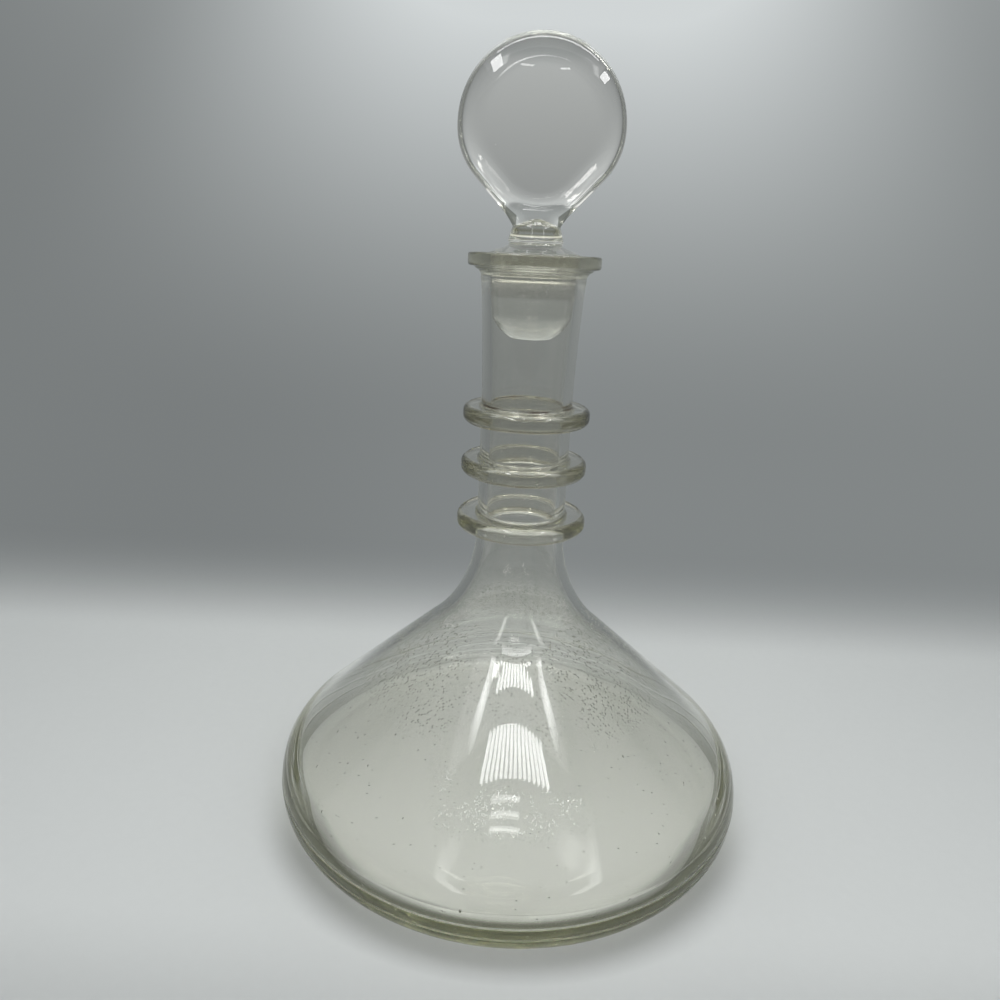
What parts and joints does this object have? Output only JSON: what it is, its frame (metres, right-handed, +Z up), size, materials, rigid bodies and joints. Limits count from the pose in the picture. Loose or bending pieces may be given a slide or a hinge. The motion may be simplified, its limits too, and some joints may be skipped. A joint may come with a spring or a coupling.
{
  "type": "ships decanter",
  "caption": "Broad-based clear glass decanter with applied neck rings, a flat lip and a ground disc-headed stopper that lifts out",
  "frame": {"origin": "middle of the base, on the table, below the neck's axis", "axes": "+Z up along the neck's axis, X across the width of the stopper's disc, Y through its thickness"},
  "size_m": [0.19, 0.19, 0.2879],
  "materials": {
    "flask_glass": "clear, fire-polished, ground inside the mouth",
    "ring_glass": "clear with a faint straw tint",
    "stopper_glass": "clear, polished, ground on the plug"
  },
  "bodies": {
    "decanter": {"flask": "flask_glass", "neck_ring_upper": "ring_glass", "neck_ring_middle": "ring_glass", "neck_ring_lower": "ring_glass"},
    "stopper": {"stopper": "stopper_glass"}
  },
  "joints": [
    {"name": "stopper_lift", "type": "slide", "parent": "decanter", "child": "stopper", "axis": [0, 0, 1], "range_m": [0, 0.08]}
  ]
}
